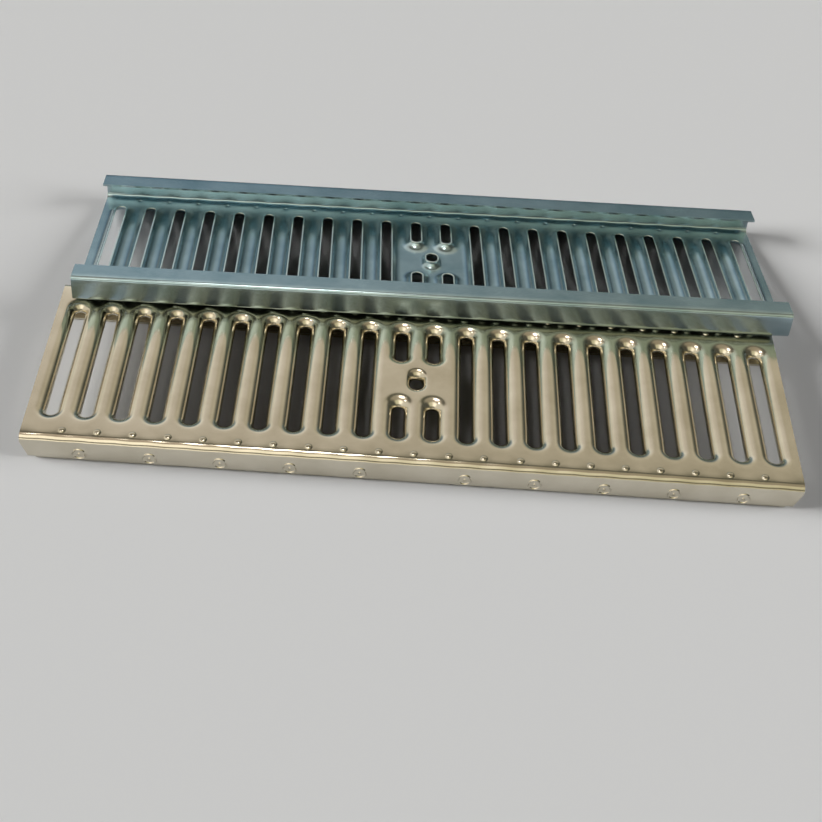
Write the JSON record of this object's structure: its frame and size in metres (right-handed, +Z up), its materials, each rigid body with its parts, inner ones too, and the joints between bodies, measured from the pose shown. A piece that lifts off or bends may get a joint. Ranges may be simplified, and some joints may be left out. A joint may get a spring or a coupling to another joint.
{
  "type": "slotted drain channel grating pair",
  "caption": "Pressed steel slot gratings for a drain channel, one face up and one upside down leaning on it, each with folded walls and lips.",
  "frame": {"origin": "on the ground under the middle of the pair's outer box", "axes": "+X along the gratings' length, +Y from the upright grating towards the upside-down one behind it, +Z up"},
  "size_m": [0.5098, 0.2882, 0.0437],
  "materials": {
    "warm_zinc": "zinc-plated sheet with a warm passivated sheen",
    "blue_zinc": "zinc-plated sheet with a cool blue passivated sheen"
  },
  "bodies": {
    "upright_grating": {"upright_deck": "warm_zinc", "upright_marked_wall": "warm_zinc", "upright_marked_lip": "warm_zinc", "upright_plain_wall": "warm_zinc", "upright_plain_lip": "warm_zinc"},
    "inverted_grating": {"inverted_deck": "blue_zinc", "inverted_marked_wall": "blue_zinc", "inverted_marked_lip": "blue_zinc", "inverted_plain_wall": "blue_zinc", "inverted_plain_lip": "blue_zinc"}
  },
  "joints": [
    {"name": "lift_off", "type": "slide", "parent": "upright_grating", "child": "inverted_grating", "axis": [0, 0, 1], "range_m": [0, 0.1]}
  ]
}
